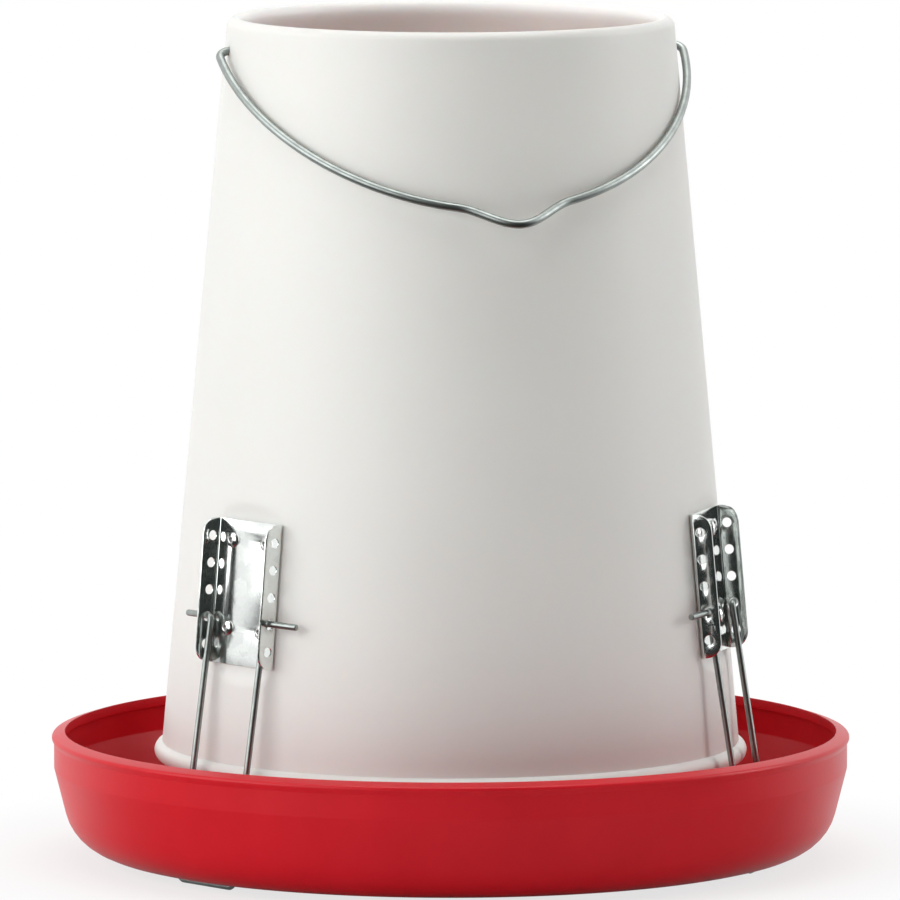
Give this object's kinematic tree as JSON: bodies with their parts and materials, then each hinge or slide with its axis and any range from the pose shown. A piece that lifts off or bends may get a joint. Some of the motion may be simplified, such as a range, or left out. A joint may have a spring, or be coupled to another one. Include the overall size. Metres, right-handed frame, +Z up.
{
  "type": "poultry feeder",
  "caption": "Hanging or free-standing poultry feeder: an open plastic hopper held over a round plastic pan by spring wire hoops that set its height, with a wire bail.",
  "frame": {"origin": "on the ground under the middle of the pan, on the feeder's own axis", "axes": "+Z up, X along the bail's hinge, -Y towards the side where the bail hangs"},
  "size_m": [0.4, 0.4, 0.4221],
  "materials": {
    "red_plastic": "moulded red plastic, soft gloss",
    "white_plastic": "moulded white plastic, satin",
    "galvanised_sheet": "bright galvanised sheet",
    "galvanised_wire": "galvanised wire",
    "rivet_metal": "plain blind rivet"
  },
  "bodies": {
    "pan": {"pan": "red_plastic"},
    "hopper": {"hopper": "white_plastic", "left_bracket": "galvanised_sheet", "right_bracket": "galvanised_sheet", "rear_bracket": "galvanised_sheet", "left_rivet_upper_left": "rivet_metal", "left_rivet_upper_right": "rivet_metal", "left_rivet_lower_left": "rivet_metal", "left_rivet_lower_right": "rivet_metal", "right_rivet_upper_left": "rivet_metal", "right_rivet_upper_right": "rivet_metal", "right_rivet_lower_left": "rivet_metal", "right_rivet_lower_right": "rivet_metal", "rear_rivet_upper_left": "rivet_metal", "rear_rivet_upper_right": "rivet_metal", "rear_rivet_lower_left": "rivet_metal", "rear_rivet_lower_right": "rivet_metal"},
    "bail": {"bail": "galvanised_wire"},
    "left_hoop": {"left_hoop": "galvanised_wire"},
    "right_hoop": {"right_hoop": "galvanised_wire"},
    "rear_hoop": {"rear_hoop": "galvanised_wire"}
  },
  "joints": [
    {"name": "hopper_height", "type": "slide", "parent": "pan", "child": "hopper", "axis": [0, 0, 1], "range_m": [-0.0408, 0.0136], "deforming": ["left_hoop", "right_hoop", "rear_hoop"]},
    {"name": "left_hoop_swing", "type": "hinge", "parent": "pan", "child": "left_hoop", "pos_m": [-0.1403, -0.081, 0.0019], "axis": [0.5, -0.866, 0], "range_deg": [-1.7, 0.6]},
    {"name": "right_hoop_swing", "type": "hinge", "parent": "pan", "child": "right_hoop", "pos_m": [0.1403, -0.081, 0.0019], "axis": [0.5, 0.866, 0], "range_deg": [-1.7, 0.6]},
    {"name": "rear_hoop_swing", "type": "hinge", "parent": "pan", "child": "rear_hoop", "pos_m": [0, 0.162, 0.0019], "axis": [-1, 0, 0], "range_deg": [-1.7, 0.6]},
    {"name": "bail_swing", "type": "hinge", "parent": "hopper", "child": "bail", "pos_m": [0, 0, 0.4066], "axis": [-1, 0, 0], "range_deg": [0, 238.6]}
  ],
  "couplings": [
    {"joint": "left_hoop_swing", "follows": "hopper_height", "rad_per_m": 0.703},
    {"joint": "right_hoop_swing", "follows": "hopper_height", "rad_per_m": 0.703},
    {"joint": "rear_hoop_swing", "follows": "hopper_height", "rad_per_m": 0.703}
  ]
}
